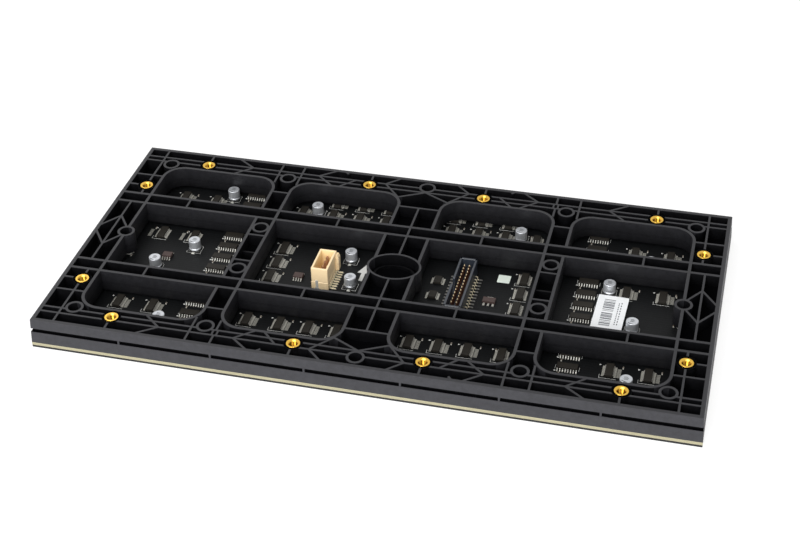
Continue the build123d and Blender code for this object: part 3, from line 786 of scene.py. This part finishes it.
def chip_pieces(kind, count, pitch, lead_half, turn=0.0, tinning="tin", epoxy="resin"):
    """Bodies, leads and pads of every chip of one kind, with a number of leads on each side."""
    sink, root, shoulder_drop = 0.08, 0.05, 0.75
    bodies, leads = kind + "_bodies", kind + "_leads"
    low, high = solids(bodies)[0]
    # across the leads is along X, or along Y on a turned chip
    across, along = (1, 0) if turn else (0, 1)
    width, length = [size((low, high))[axis] for axis in (across, along)]
    reach = size(solids(leads)[0])[across] / 2
    bottom = low[2] - sink
    places = middles(bodies, BOARD_TOP)
    rows(kind + "_resin", middles(bodies, bottom), chip_template(width, length, high[2] - bottom),
         epoxy, (bodies,), turn=turn)
    lead = lead_template(width / 2 - root, reach, lead_half, high[2] - BOARD_TOP - shoulder_drop)
    rows(kind + "_bent_leads", places, lead, tinning, (leads,), count, pitch, turn)
    rows(kind + "_pads", places, pad_template(reach, lead_half), "pad", (), count, pitch, turn)


def seen_directly(tree):
    """One for rays from the eye, from polished metal or through clear resin, and else zero."""
    path = add(tree, "ShaderNodeLightPath").node.outputs
    first = add(tree, MATH, {0: path["Is Camera Ray"], 1: path["Is Glossy Ray"]}, operation="MAXIMUM")
    return add(tree, MATH, {0: first, 1: path["Is Transmission Ray"]}, operation="MAXIMUM")


# Operators, one for each group of pieces

class MODULE_OT_stage(bpy.types.Operator):
    """Sets the floor, the world, the lamps and the camera"""

    bl_idname = "module.stage"
    bl_label = "Stage"

    def execute(self, context):
        scene = context.scene
        scene.view_settings.view_transform = "Standard"
        self.floor(scene)
        self.world(scene)
        self.lights(scene)
        self.camera(scene)
        return {"FINISHED"}

    def floor(self, scene):
        """A wide pale floor just under the module."""
        reach, under, gap = 4000, 3.0, 0.02
        build = Build()
        build.box((-reach, -reach, -under), (reach, reach, -gap))
        material, tree, shader = new_material("pale_floor")
        set_values(shader, Base_Color=shade(linear("#F4F4F4")), Roughness=0.7)
        # the eye and polished surfaces meet white, dimmed a little where the module's shadow lies
        white = add(tree, "ShaderNodeEmission", {"Color": (1.0, 1.0, 1.0, 1.0), "Strength": 0.8})
        veil = add(tree, "ShaderNodeBsdfDiffuse", {"Color": (0.3, 0.3, 0.3, 1.0)})
        both = add(tree, "ShaderNodeAddShader", {0: white, 1: veil})
        mix = add(tree, "ShaderNodeMixShader", {"Fac": seen_directly(tree), 1: shader.outputs[0], 2: both})
        give(tree.nodes["Material Output"], "Surface", mix)
        floor = bpy.data.objects.new("floor", build.mesh("floor"))
        floor.data.materials.append(material)
        scene.collection.objects.link(floor)

    def world(self, scene):
        """White behind everything, a plain soft grey as light."""
        world = bpy.data.worlds.new("studio")
        world.use_nodes = True
        tree = world.node_tree
        strength = add(tree, SPAN, {"Value": seen_directly(tree), "To Min": 0.45, "To Max": 1.0})
        set_values(tree.nodes["Background"], Color=(1.0, 1.0, 1.0, 1.0), Strength=strength)
        scene.world = world

    def lights(self, scene):
        """Large soft lamps: the main one high on the camera's left, weak ones in front and behind."""
        for name, spot, side, power in (("main", (-0.35, -1.0, 1.0), 1.0, 18.0),
                                        ("front", (0.3, -1.3, 0.55), 1.0, 11.0),
                                        ("behind", (-0.9, 0.7, 0.9), 0.9, 2.0)):
            light = bpy.data.lights.new(name, "AREA")
            light.size = side
            light.energy = power
            lamp = bpy.data.objects.new(name, light)
            lamp.location = spot
            lamp.rotation_euler = (-Vector(spot)).to_track_quat("-Z", "Y").to_euler()
            scene.collection.objects.link(lamp)

    def camera(self, scene):
        """The camera where the photograph was taken, worked out from the module's outline."""
        data = bpy.data.cameras.new("camera")
        data.sensor_width = 36.0
        data.lens = 69.73
        data.clip_start = 0.01
        camera = bpy.data.objects.new("camera", data)
        spot = Vector((163.432, -596.448, 470.518)) * MM
        right = Vector((0.96945, 0.24437, -0.02138)).normalized()
        up = Vector((-0.12813, 0.57878, 0.80536)).normalized()
        turn = Matrix((right, up, right.cross(up))).transposed().to_4x4()
        camera.matrix_world = Matrix.Translation(spot) @ turn
        scene.collection.objects.link(camera)
        scene.camera = camera


class MODULE_OT_housing(bpy.types.Operator):
    """Finishes the frame, the board, the front mask and the nuts"""

    bl_idname = "module.housing"
    bl_label = "Frame, board and mask"

    def execute(self, context):
        for node, use in (("rear_frame", "frame"), ("circuit_board", "board"), ("front_mask", "mask"),
                          ("board_nuts", "tin")):
            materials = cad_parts[node].data.materials
            materials.clear()
            materials.append(finish[use])
        return {"FINISHED"}


class MODULE_OT_lamps(bpy.types.Operator):
    """Sets the lamps and the mask's upright bars on the front"""

    bl_idname = "module.lamps"
    bl_label = "Lamps"

    def execute(self, context):
        sizes = context.scene.module_sizes
        bars = solids("led_rows")
        pitch = sizes.lamp_pitch / MM
        half = sizes.lamp_side / MM / 2
        (_, _, front), (_, _, back) = bars[0]
        count = round((size(bars[0])[0] - 2 * half) / pitch) + 1
        places = [(0.0, y, 0.0) for _, y, _ in map(middle, bars)]
        bevel = 0.12
        body = Build()
        body.drafted(-half, half, -half, half, ((bevel, front), (0.0, front + bevel), (0.0, back)),
                     caps=(True, False))
        rows("lamp_bodies", places, body, "lamp", ("led_rows",), count,
             sizes.lamp_pitch, QUARTER)
        # three crystals a lamp, drawn as plain faces just below its front
        half_x, half_y, spacing, proud = 0.16, 0.12, 0.45, 0.02
        crystals = Build()
        for y in (-spacing, 0.0, spacing):
            first = len(crystals.points)
            crystals.points.extend(rectangle(-half_x, half_x, y - half_y, y + half_y, front - proud))
            crystals.faces.append((first + 3, first + 2, first + 1, first))
        rows("lamp_crystals", places, crystals, "crystal", (), count,
             sizes.lamp_pitch, QUARTER)
        low, high = outer_box("front_mask")
        gap = (pitch / 2 - half) * 0.8
        rim, set_back, recess = 0.3, 0.04, 0.1
        upright = Build()
        upright.box((low[1] + rim, -gap, set_back), (high[1] - rim, gap, high[2] - recess))
        rows("mask_uprights", [(0.0, 0.0, 0.0)], upright, "mask", (), count - 1,
             sizes.lamp_pitch, QUARTER)
        return {"FINISHED"}


class MODULE_OT_chips(bpy.types.Operator):
    """Makes the chips with their bent leads and pads"""

    bl_idname = "module.chips"
    bl_label = "Chips"

    def execute(self, context):
        fine = context.scene.module_sizes.driver_pitch
        coarse = context.scene.module_sizes.switch_pitch
        chip_pieces("driver_chip", 12, fine, lead_half=0.15, tinning="matt_tin")
        half_length, half_width, thickness, askew = 0.9, 0.17, 0.04, 0.4
        comb = Build()
        comb.box((-half_length, -half_width, 0.0), (half_length, half_width, thickness))
        places = [(x + comb_shift(x, y), y - askew, z) for x, y, z in
                  middles("driver_chip_bodies", BOARD_TOP) if not near_data_header(x)]
        rows("track_combs", places, comb, "pad", (), 10, fine)
        chip_pieces("buffer_chip", 8, fine, lead_half=0.17, tinning="matt_tin")
        chip_pieces("row_switch_chip", 8, coarse, lead_half=0.2, turn=QUARTER)
        chip_pieces("supply_chip", 4, coarse, lead_half=0.24, turn=QUARTER, tinning="matt_tin",
                    epoxy="brown_resin")
        self.regulator()
        return {"FINISHED"}

    def regulator(self):
        """The regulator's body, a little above the board, and its flat tabs."""
        lift, tab = 0.1, 0.35
        low, high = solids("regulator_body")[0]
        length, width, _ = size((low, high))
        body = chip_template(width, length, high[2] - BOARD_TOP - lift)
        rows("regulator_resin", middles("regulator_body", BOARD_TOP + lift), body, "brown_resin",
             ("regulator_body",), turn=QUARTER)
        metal = Build()
        for low, high in solids("regulator_metal"):
            metal.box((low[0], low[1], BOARD_TOP), (high[0], high[1], BOARD_TOP + tab))
        place("regulator_tabs", metal.mesh("regulator_tabs"), "matt_tin", ("regulator_metal",))


class MODULE_OT_capacitors(bpy.types.Operator):
    """Makes the electrolytic capacitors"""

    bl_idname = "module.capacitors"
    bl_label = "Capacitors"

    def execute(self, context):
        diameter, _, height = size(solids("capacitor_cans")[0])
        cans = middles("capacitor_cans")
        rows("cans", cans, can_template(diameter / 2, height), "can", ("capacitor_cans",))
        rows("can_prints", cans, can_print_template(diameter / 2, height), "can_ink")
        side, _, height = size(solids("capacitor_bases")[0])
        bases = middles("capacitor_bases")
        tucked, proud = side / 2 - 0.1, side / 2 + 0.9
        rows("bases", bases, base_template(side, height), "base", ("capacitor_bases",))
        rows("capacitor_feet", bases, foot_template(tucked, proud), "tin")
        return {"FINISHED"}


class MODULE_OT_power_header(bpy.types.Operator):
    """Makes the power header: housing, clip, posts and tails"""

    bl_idname = "module.power_header"
    bl_label = "Power header"

    def execute(self, context):
        pins = solids("power_header_pins")
        self.housing(pins[0])
        rows("power_posts", middles("power_header_pins"), post_template(pins[0], 0.9, 0.45),
             "phosphor", ("power_header_pins",))
        self.tails()
        return {"FINISHED"}

    def housing(self, pin):
        """The open box with its keys and latch lug, and the clip on its near end."""
        low, high = outer_box("power_header_housing")
        centre_x = middle(pin)[0]
        centre = [(centre_x, (low[1] + high[1]) / 2, low[2])]
        _, length, height = size((low, high))
        half_x, half_y = centre_x - low[0], length / 2
        wall = 1.2
        floor = pin[0][2] - low[2]
        build = open_box(half_x, half_y, height, wall, floor)
        # two keying ribs inside one long wall
        for y in (-half_y * 0.45, half_y * 0.45):
            build.box((half_x - wall - 0.55, y - 0.5, floor), (half_x - wall + 0.1, y + 0.5, height - 0.9))
        # latch lug outside the same wall, with a sloped top
        lug, root, foot, shoulder, lug_width = high[0] - centre_x, half_x - 0.2, 2.5, height - 1.2, 3.2
        section = [(root, foot), (lug, foot), (lug, height - 2.4), (half_x + 0.75, shoulder),
                   (root, shoulder)]
        build.loft([[(x, y, z) for x, z in section] for y in (half_y, half_y - lug_width)])
        rows("power_housing", centre, build, "nylon", ("power_header_housing",))
        # tin-plated retaining clip low on the near end
        clip = Build()
        for x0, x1, z0, z1 in ((-2.2, -0.8, 1.0, 5.2), (-2.6, -0.4, 0.0, 0.9)):
            clip.box((x0, -half_y - 0.06, z0), (x1, -half_y + 0.25, z1))
        rows("power_clip", centre, clip, "tin")

    def tails(self):
        """Bent tails beside the housing, each with a solder joint at its foot."""
        tails = solids("power_header_tails")
        reach, width, rise = size(tails[0])
        half = width / 2 - 0.2
        thickness = 0.4
        tail = Build()
        ribbon(tail, [(0.0, rise), (0.35, rise), (0.6, rise - 0.25), (0.6, thickness + 0.15),
                      (0.8, thickness), (reach, thickness)], half, thickness)
        places = [(low[0], (low[1] + high[1]) / 2, BOARD_TOP) for low, high in tails]
        rows("power_tails", places, tail, "bronze", ("power_header_tails",))
        pad = Build()
        pad.box((reach - 1.2, -half, 0.0), (reach + 0.5, half, 0.05))
        rows("power_pads", places, pad, "solder")


class MODULE_OT_data_header(bpy.types.Operator):
    """Makes the data header: shroud, pins and bent leads"""

    bl_idname = "module.data_header"
    bl_label = "Data header"

    def execute(self, context):
        shroud = outer_box("data_header_shroud")
        pins = solids("data_header_pins")
        floor = pins[0][0][2] - shroud[0][2]
        rows("data_shroud", [middle(shroud)], self.shroud(shroud, floor), "shroud",
             ("data_header_shroud",))
        rows("data_posts", middles("data_header_pins"), post_template(pins[0], 0.5, 0.5),
             "gold", ("data_header_pins",))
        self.leads(middle(shroud)[0])
        return {"FINISHED"}

    def shroud(self, box, floor):
        """The shroud's floor, four walls and the key gap in the left wall."""
        length, width, height = size(box)
        x, y = length / 2, width / 2
        wall, key, lip = 1.15, 2.25, 0.15
        build = Build()
        build.box((-x, -y, 0.0), (x, y, floor))
        for walls in ((-x, x, -y, -y + wall), (-x, x, y - wall, y), (x - wall, x, -y, y),
                      (-x, -x + wall, -y, -key), (-x, -x + wall, key, y)):
            build.drafted(*walls, ((0.0, floor), (0.0, height - lip), (lip, height)))
        return build

    def leads(self, centre_x):
        """Bent leads on both sides of the shroud, each with solder over its foot."""
        leads = solids("data_header_leads")
        reach, _, rise = size(leads[-1])
        thickness = 0.28
        path = [(0.0, rise), (0.9, rise), (1.15, rise - 0.25), (1.15, 0.45), (1.35, thickness),
                (reach, thickness)]
        right, left = Build(), Build()
        ribbon(right, path, 0.28, thickness)
        ribbon(left, [(-x, z) for x, z in reversed(path)], 0.3, thickness)
        heel, toe, half = 1.5, 0.55, 0.45
        pad = Build()
        pad.loft([rectangle(heel + d, reach + toe - d, -half + d / 2, half - d / 2, z)
                  for d, z in ((0.0, 0.0), (0.02, 0.05), (0.2, 0.3))])
        on_right = [(low[0], (low[1] + high[1]) / 2, BOARD_TOP) for low, high in leads
                    if low[0] > centre_x]
        on_left = [(high[0], (low[1] + high[1]) / 2, BOARD_TOP) for low, high in leads
                   if low[0] < centre_x]
        rows("data_leads_right", on_right, right, "bronze", ("data_header_leads",))
        rows("data_leads_left", on_left, left, "bronze")
        rows("data_pads_right", on_right, pad, "solder")
        rows("data_pads_left", on_left, pad, "solder", turn=math.pi)


class MODULE_OT_fasteners(bpy.types.Operator):
    """Makes the threaded inserts and the screws in the wells"""

    bl_idname = "module.fasteners"
    bl_label = "Inserts and screws"

    def execute(self, context):
        pitch = context.scene.module_sizes.thread_pitch / MM
        bore = 2.1
        diameter, _, length = size(solids("threaded_inserts")[0])
        rows("inserts", middles("threaded_inserts", REAR),
             insert_template(diameter / 2, bore, length, pitch), "brass",
             ("threaded_inserts",))
        diameter, _, height = size(solids("frame_screws")[0])
        rows("well_screws", middles("frame_screws"), screw_template(diameter / 2, height), "oxide",
             ("frame_screws",))
        return {"FINISHED"}


class MODULE_OT_small_parts(bpy.types.Operator):
    """Makes the chip capacitors and resistors beside the chips"""

    bl_idname = "module.small_parts"
    bl_label = "Small parts"

    def execute(self, context):
        past_comb, behind_middle = 1.4, 3.9
        places = [(x + comb_shift(x, y) + past_comb, y + behind_middle, z)
                  for x, y, z in middles("driver_chip_bodies", BOARD_TOP)]
        left, in_front = 3.6, 4.6
        places += [(x - left, y - in_front, z)
                   for x, y, z in middles("row_switch_chip_bodies", BOARD_TOP)]
        near_the_ends = (-140.0, -2.5), (137.8, 22.3), (138.7, -1.1)
        places += [(x, y, BOARD_TOP) for x, y in near_the_ends]
        places = [spot for spot in places if self.free(spot)]
        body = Build()
        body.box((-0.24, -0.3, 0.02), (0.24, 0.3, 0.48))
        rows("chip_capacitor_bodies", places, body, "ceramic")
        ends = Build()
        for side in (-1, 1):
            for half, inner, outer, top in ((0.26, 0.28, 0.5, 0.5), (0.32, 0.25, 0.8, 0.05)):
                y0, y1 = sorted((side * inner, side * outer))
                ends.box((-half, y0, 0.0), (half, y1, top))
        rows("chip_capacitor_ends", places, ends, "matt_tin")
        return {"FINISHED"}

    def free(self, spot):
        """True where no electrolytic capacitor stands in the way."""
        along_x, along_y = 1.2, 1.8
        return not any(low[0] - along_x < spot[0] < high[0] + along_x
                       and low[1] - along_y < spot[1] < high[1] + along_y
                       for low, high in solids("capacitor_bases"))


class MODULE_OT_printing(bpy.types.Operator):
    """Prints the white outlines, marks and the arrow on the board"""

    bl_idname = "module.printing"
    bl_label = "Printing"

    def execute(self, context):
        sizes = context.scene.module_sizes
        self.half_line = sizes.print_width / MM / 2
        self.top = BOARD_TOP + sizes.print_height / MM
        build = Build()
        self.chip_marks(build)
        self.can_outlines(build)
        # the arrow that points to the module's upper side
        neck = 8.2
        for outline in (rectangle(-19.4, -17.4, 1.6, neck, 0.0),
                        [(-21.6, neck), (-15.3, neck), (-18.4, 15.9)]):
            build.plate(outline, BOARD_TOP, self.top)
        place("board_print", build.mesh("board_print"), "ink")
        return {"FINISHED"}

    def strokes(self, build, x, y, points):
        """Printed lines from point to point, given from a middle."""
        for (x0, y0), (x1, y1) in zip(points, points[1:]):
            length = math.hypot(x1 - x0, y1 - y0)
            nx, ny = -(y1 - y0) / length * self.half_line, (x1 - x0) / length * self.half_line
            build.plate([(x + x0 - nx, y + y0 - ny), (x + x1 - nx, y + y1 - ny),
                         (x + x1 + nx, y + y1 + ny), (x + x0 + nx, y + y0 + ny)], BOARD_TOP, self.top)

    def chip_marks(self, build):
        """Brackets beside the driver and row-switch chips, and a mark by each first lead."""
        for x, y, _ in middles("driver_chip_bodies"):
            self.strokes(build, x, y, [(3.6, -5.1), (-4.3, -5.1), (-4.3, -2.7)])
            build.plate([(x - 5.1, y + 3.9), (x - 4.1, y + 4.4), (x - 5.1, y + 4.9)], BOARD_TOP, self.top)
        for x, y, _ in middles("row_switch_chip_bodies"):
            for side in (-5.6, 5.6):
                self.strokes(build, x, y, [(side, -1.6), (side, 1.6)])
            build.box((x - 6.0, y - 3.0, BOARD_TOP), (x - 5.1, y - 2.3, self.top))

    def can_outlines(self, build):
        """The outline round each capacitor, with two cut corners."""
        h, cut, gap = 3.65, 1.5, 1.2
        for x, y, _ in middles("capacitor_bases"):
            for side in (-1, 1):
                self.strokes(build, x, y, [(side * gap, -h), (side * h, -h), (side * h, h - cut),
                                           (side * (h - cut), h), (side * gap, h)])


class MODULE_OT_labels(bpy.types.Operator):
    """Lays the plain labels"""

    bl_idname = "module.labels"
    bl_label = "Labels"

    def execute(self, context):
        thickness = 0.1
        # a square one on the board, beside the data header
        left, right, near, far, corner, lift = 48.9, 55.2, 15.5, 21.8, 0.3, 0.01
        square = Build()
        square.plate(rounded_rectangle(left, right, near, far, 0, corner), BOARD_TOP + lift,
                     BOARD_TOP + thickness)
        place("square_label", square.mesh("square_label"), "varnished")
        # a paper label with plain columns of bars, lying across the chips
        half_width, half_length, corner, sunk, proud = 7.5, 13.5, 0.6, 0.02, 0.015
        bottom = BOARD_TOP + 1.86
        top = bottom + thickness
        sheet = Build()
        sheet.plate(self.laid(rounded_rectangle(-half_width, half_width, -half_length, half_length, 0,
                                                corner)), bottom, top)
        place("bar_label", sheet.mesh("bar_label"), "paper")
        bars = Build()
        for bar in self.wide_bars() + self.short_bars():
            bars.plate(self.laid(rectangle(*bar, 0)), top - sunk, top + proud)
        place("label_bars", bars.mesh("label_bars"), "print")
        return {"FINISHED"}

    def laid(self, outline):
        """An outline moved to where the label lies, a little askew."""
        middle_x, middle_y, angle = 107.7, 0.6, math.radians(-1.5)
        spots = [turned(x, y, angle) for x, y, _ in outline]
        return [(middle_x + x, middle_y + y) for x, y in spots]

    def wide_bars(self):
        """Uneven bars in one column, with a gap at its middle."""
        left, right, end = -4.0, 1.4, 10.5
        gap_low, gap_high, restart = -0.8, 0.4, 1.0
        widths = (0.5, 0.25, 0.8, 0.3, 0.5, 0.9, 0.25, 0.6)
        count = len(widths)
        bars = []
        y = -end
        while y < end:
            index = len(bars)
            width = widths[index % count]
            bars.append((left, right, y, y + width))
            y += width + widths[(index * 3 + 1) % count] * 0.9
            if gap_low < y < gap_high:
                y = restart
        return bars

    def short_bars(self):
        """Two narrow columns of even bars beside the wide one."""
        width, end = 0.5, 9.0
        bars = []
        for left, step in ((3.2, 1.5), (4.4, 2.1)):
            y = -end
            while y < end:
                bars.append((left, left + width, y, y + step * 0.6))
                y += step
        return bars


class MODULE_PT_panel(bpy.types.Panel):
    """Lists the steps that dress the module"""

    bl_label = "Module"
    bl_idname = "MODULE_PT_panel"
    bl_space_type = "VIEW_3D"
    bl_region_type = "UI"
    bl_category = "Module"

    def draw(self, context):
        for step in steps:
            self.layout.operator(step.bl_idname)


steps = (MODULE_OT_stage, MODULE_OT_housing, MODULE_OT_lamps, MODULE_OT_chips, MODULE_OT_capacitors,
         MODULE_OT_power_header, MODULE_OT_data_header, MODULE_OT_fasteners, MODULE_OT_small_parts,
         MODULE_OT_printing, MODULE_OT_labels)
classes = (ModuleSizes, ModuleColours) + steps + (MODULE_PT_panel,)


def register():
    for item in classes:
        bpy.utils.register_class(item)
    bpy.types.Scene.module_sizes = bpy.props.PointerProperty(type=ModuleSizes)
    bpy.types.Scene.module_colours = bpy.props.PointerProperty(type=ModuleColours)


def unregister():
    del bpy.types.Scene.module_colours
    del bpy.types.Scene.module_sizes
    for item in reversed(classes):
        bpy.utils.unregister_class(item)


def main():
    register()
    finish.update(finishes())
    for step in steps:
        group, name = step.bl_idname.split(".")
        getattr(getattr(bpy.ops, group), name)()


if __name__ == "__main__":
    main()
